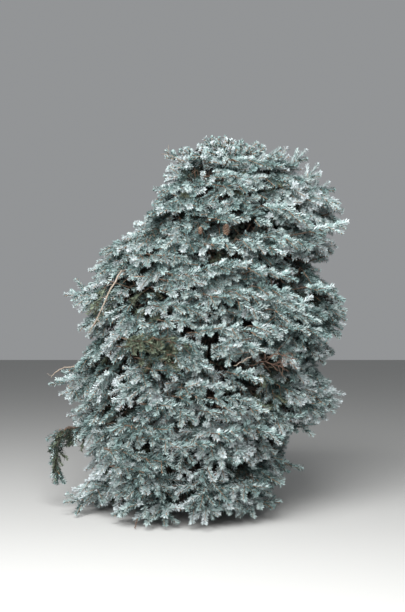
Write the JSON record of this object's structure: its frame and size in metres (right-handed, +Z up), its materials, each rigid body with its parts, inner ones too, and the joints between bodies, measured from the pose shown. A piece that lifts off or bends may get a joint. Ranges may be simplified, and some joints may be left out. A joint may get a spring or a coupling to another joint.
{
  "type": "blue spruce",
  "caption": "Broad, dense blue spruce with a domed top: a leaning trunk with a flared foot, short boughs and drooping tiers of foliage down to the ground.",
  "frame": {"origin": "middle of the flat cut under the trunk, at ground level", "axes": "+Z up along the tree's height, +X to the right and -Y towards the viewer in the picture"},
  "size_m": [2.6403, 2.386, 3.34],
  "materials": {
    "bark": "rough scaly grey-brown bark",
    "needles_pale": "waxy blue-green needles",
    "needles_blue": "waxy deeper blue-green needles",
    "needles_silver": "waxy silver-blue needles"
  },
  "bodies": {
    "root": {"trunk": "bark", "bough_1_1": "bark", "bough_1_2": "bark", "bough_1_3": "bark", "bough_1_4": "bark", "bough_1_5": "bark", "bough_2_1": "bark", "bough_2_2": "bark", "bough_2_3": "bark", "bough_2_4": "bark", "bough_2_5": "bark", "bough_3_1": "bark", "bough_3_2": "bark", "bough_3_3": "bark", "bough_3_4": "bark", "bough_3_5": "bark", "bough_3_6": "bark", "bough_4_1": "bark", "bough_4_2": "bark", "bough_4_3": "bark", "bough_4_4": "bark", "bough_4_5": "bark", "foliage_1_1": "needles_pale", "foliage_1_2": "needles_blue", "foliage_1_3": "needles_silver", "foliage_1_4": "needles_pale", "foliage_1_5": "needles_blue", "foliage_2_1": "needles_blue", "foliage_2_2": "needles_silver", "foliage_2_3": "needles_pale", "foliage_2_4": "needles_blue", "foliage_2_5": "needles_silver", "foliage_3_1": "needles_silver", "foliage_3_2": "needles_pale", "foliage_3_3": "needles_blue", "foliage_3_4": "needles_silver", "foliage_3_5": "needles_pale", "foliage_3_6": "needles_blue", "foliage_4_1": "needles_pale", "foliage_4_2": "needles_blue", "foliage_4_3": "needles_silver", "foliage_4_4": "needles_pale", "foliage_4_5": "needles_blue", "foliage_5_1": "needles_blue", "foliage_5_2": "needles_silver", "foliage_5_3": "needles_pale", "foliage_5_4": "needles_blue", "foliage_5_5": "needles_silver", "foliage_6_1": "needles_silver", "foliage_6_2": "needles_pale", "foliage_6_3": "needles_blue", "foliage_6_4": "needles_silver", "foliage_7_1": "needles_pale", "foliage_7_2": "needles_blue", "foliage_7_3": "needles_silver", "foliage_7_4": "needles_pale", "foliage_top": "needles_pale"}
  },
  "joints": []
}
